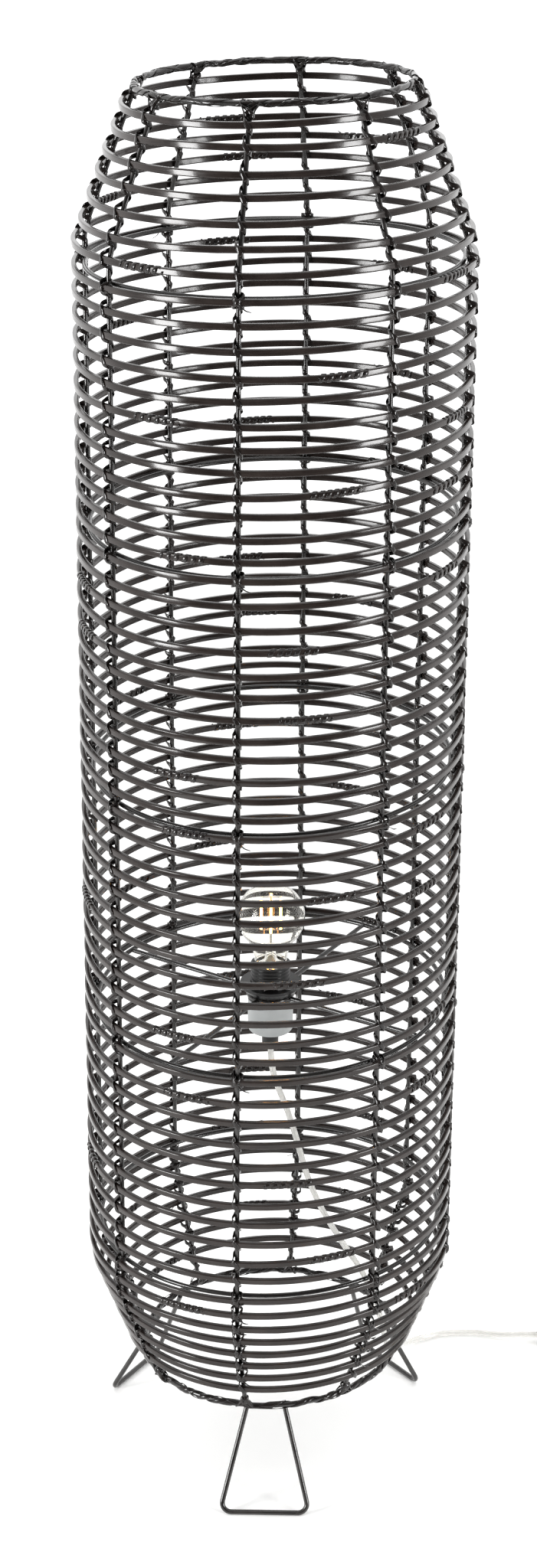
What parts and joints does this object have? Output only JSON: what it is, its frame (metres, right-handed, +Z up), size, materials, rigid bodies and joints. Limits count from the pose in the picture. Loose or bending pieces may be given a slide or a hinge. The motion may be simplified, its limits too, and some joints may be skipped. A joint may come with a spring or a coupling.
{
  "type": "wire cage floor lamp",
  "caption": "Tall open cage floor lamp of black wire and cane hoops, tapered at both ends, on bent wire legs, with a lampholder and filament bulb hung low inside.",
  "frame": {"origin": "on the floor under the middle of the cage", "axes": "+Z up, -Y to the front, +X to the front's right"},
  "size_m": [0.5126, 0.3259, 1.2316],
  "materials": {
    "black_steel_wire": "gloss",
    "stained_cane": "satin",
    "cane_strip": "satin",
    "black_plastic": "matte",
    "pale_plastic": "satin",
    "ceramic": "matte",
    "brass": "satin",
    "clear_glass": "polished",
    "nickel_wire": "polished",
    "phosphor": "satin",
    "nickel_plate": "satin",
    "black_glass": "gloss",
    "clear_cord": "gloss"
  },
  "bodies": {
    "root": {"top_rim_ring": "black_steel_wire", "bottom_rim_ring": "black_steel_wire", "upper_shoulder_ring": "black_steel_wire", "upper_body_ring": "black_steel_wire", "middle_body_ring": "black_steel_wire", "lampholder_ring": "black_steel_wire", "lower_shoulder_ring": "black_steel_wire", "rib_1": "black_steel_wire", "rib_2": "black_steel_wire", "rib_3": "black_steel_wire", "rib_4": "black_steel_wire", "rib_5": "black_steel_wire", "rib_6": "black_steel_wire", "rib_7": "black_steel_wire", "rib_8": "black_steel_wire", "front_leg": "black_steel_wire", "left_leg": "black_steel_wire", "right_leg": "black_steel_wire", "bracket_ring": "black_steel_wire", "bracket_arms": "black_steel_wire", "top_taper_hoops": "stained_cane", "upper_body_hoops": "stained_cane", "upper_middle_hoops": "stained_cane", "lower_middle_hoops": "stained_cane", "lower_body_hoops": "stained_cane", "bottom_taper_hoops": "stained_cane", "rib_lashing_1": "cane_strip", "rib_lashing_2": "cane_strip", "rib_lashing_3": "cane_strip", "rib_lashing_4": "cane_strip", "rib_lashing_5": "cane_strip", "rib_lashing_6": "cane_strip", "rib_lashing_7": "cane_strip", "rib_lashing_8": "cane_strip", "upper_splice_bindings": "cane_strip", "middle_splice_bindings": "cane_strip", "lower_splice_bindings": "cane_strip", "top_rim_binding": "cane_strip", "bottom_rim_binding": "cane_strip", "threaded_neck": "black_plastic", "holder_sleeve": "pale_plastic", "holder_insulator": "ceramic", "screw_shell": "brass", "centre_contact": "brass", "cord_grip": "black_plastic", "cord_drop": "clear_cord", "cord_coil": "clear_cord", "coil_tie": "pale_plastic", "switch_housing": "pale_plastic", "plug_body": "pale_plastic", "plug_pins": "brass"},
    "bulb": {"bulb_globe": "clear_glass", "bulb_stem": "clear_glass", "bulb_cap": "nickel_plate", "cap_insulator": "black_glass", "cap_contact": "nickel_plate"},
    "filament_mount": {"filament_supports": "nickel_wire", "bulb_filaments": "phosphor"},
    "ring_nut": {"retaining_ring": "black_plastic"},
    "rocker": {"switch_rocker": "pale_plastic"}
  },
  "joints": [
    {"name": "bulb_rise", "type": "slide", "parent": "root", "child": "bulb", "axis": [0, 0, 1], "range_m": [0, 0.02541]},
    {"name": "bulb_turn", "type": "hinge", "parent": "bulb", "child": "filament_mount", "pos_m": [0, 0, 0.436], "axis": [0, 0, 1], "range_deg": [0, 2521]},
    {"name": "ring_nut_slide", "type": "slide", "parent": "root", "child": "ring_nut", "axis": [0, 0, 1], "range_m": [0, 0.018]},
    {"name": "rocker_tilt", "type": "hinge", "parent": "root", "child": "rocker", "pos_m": [0.29162, 0.134, 0.01163], "axis": [0, -1, 0], "range_deg": [0, 18]}
  ],
  "couplings": [
    {"joint": "bulb_turn", "follows": "bulb_rise", "rad_per_m": 1730.9}
  ]
}
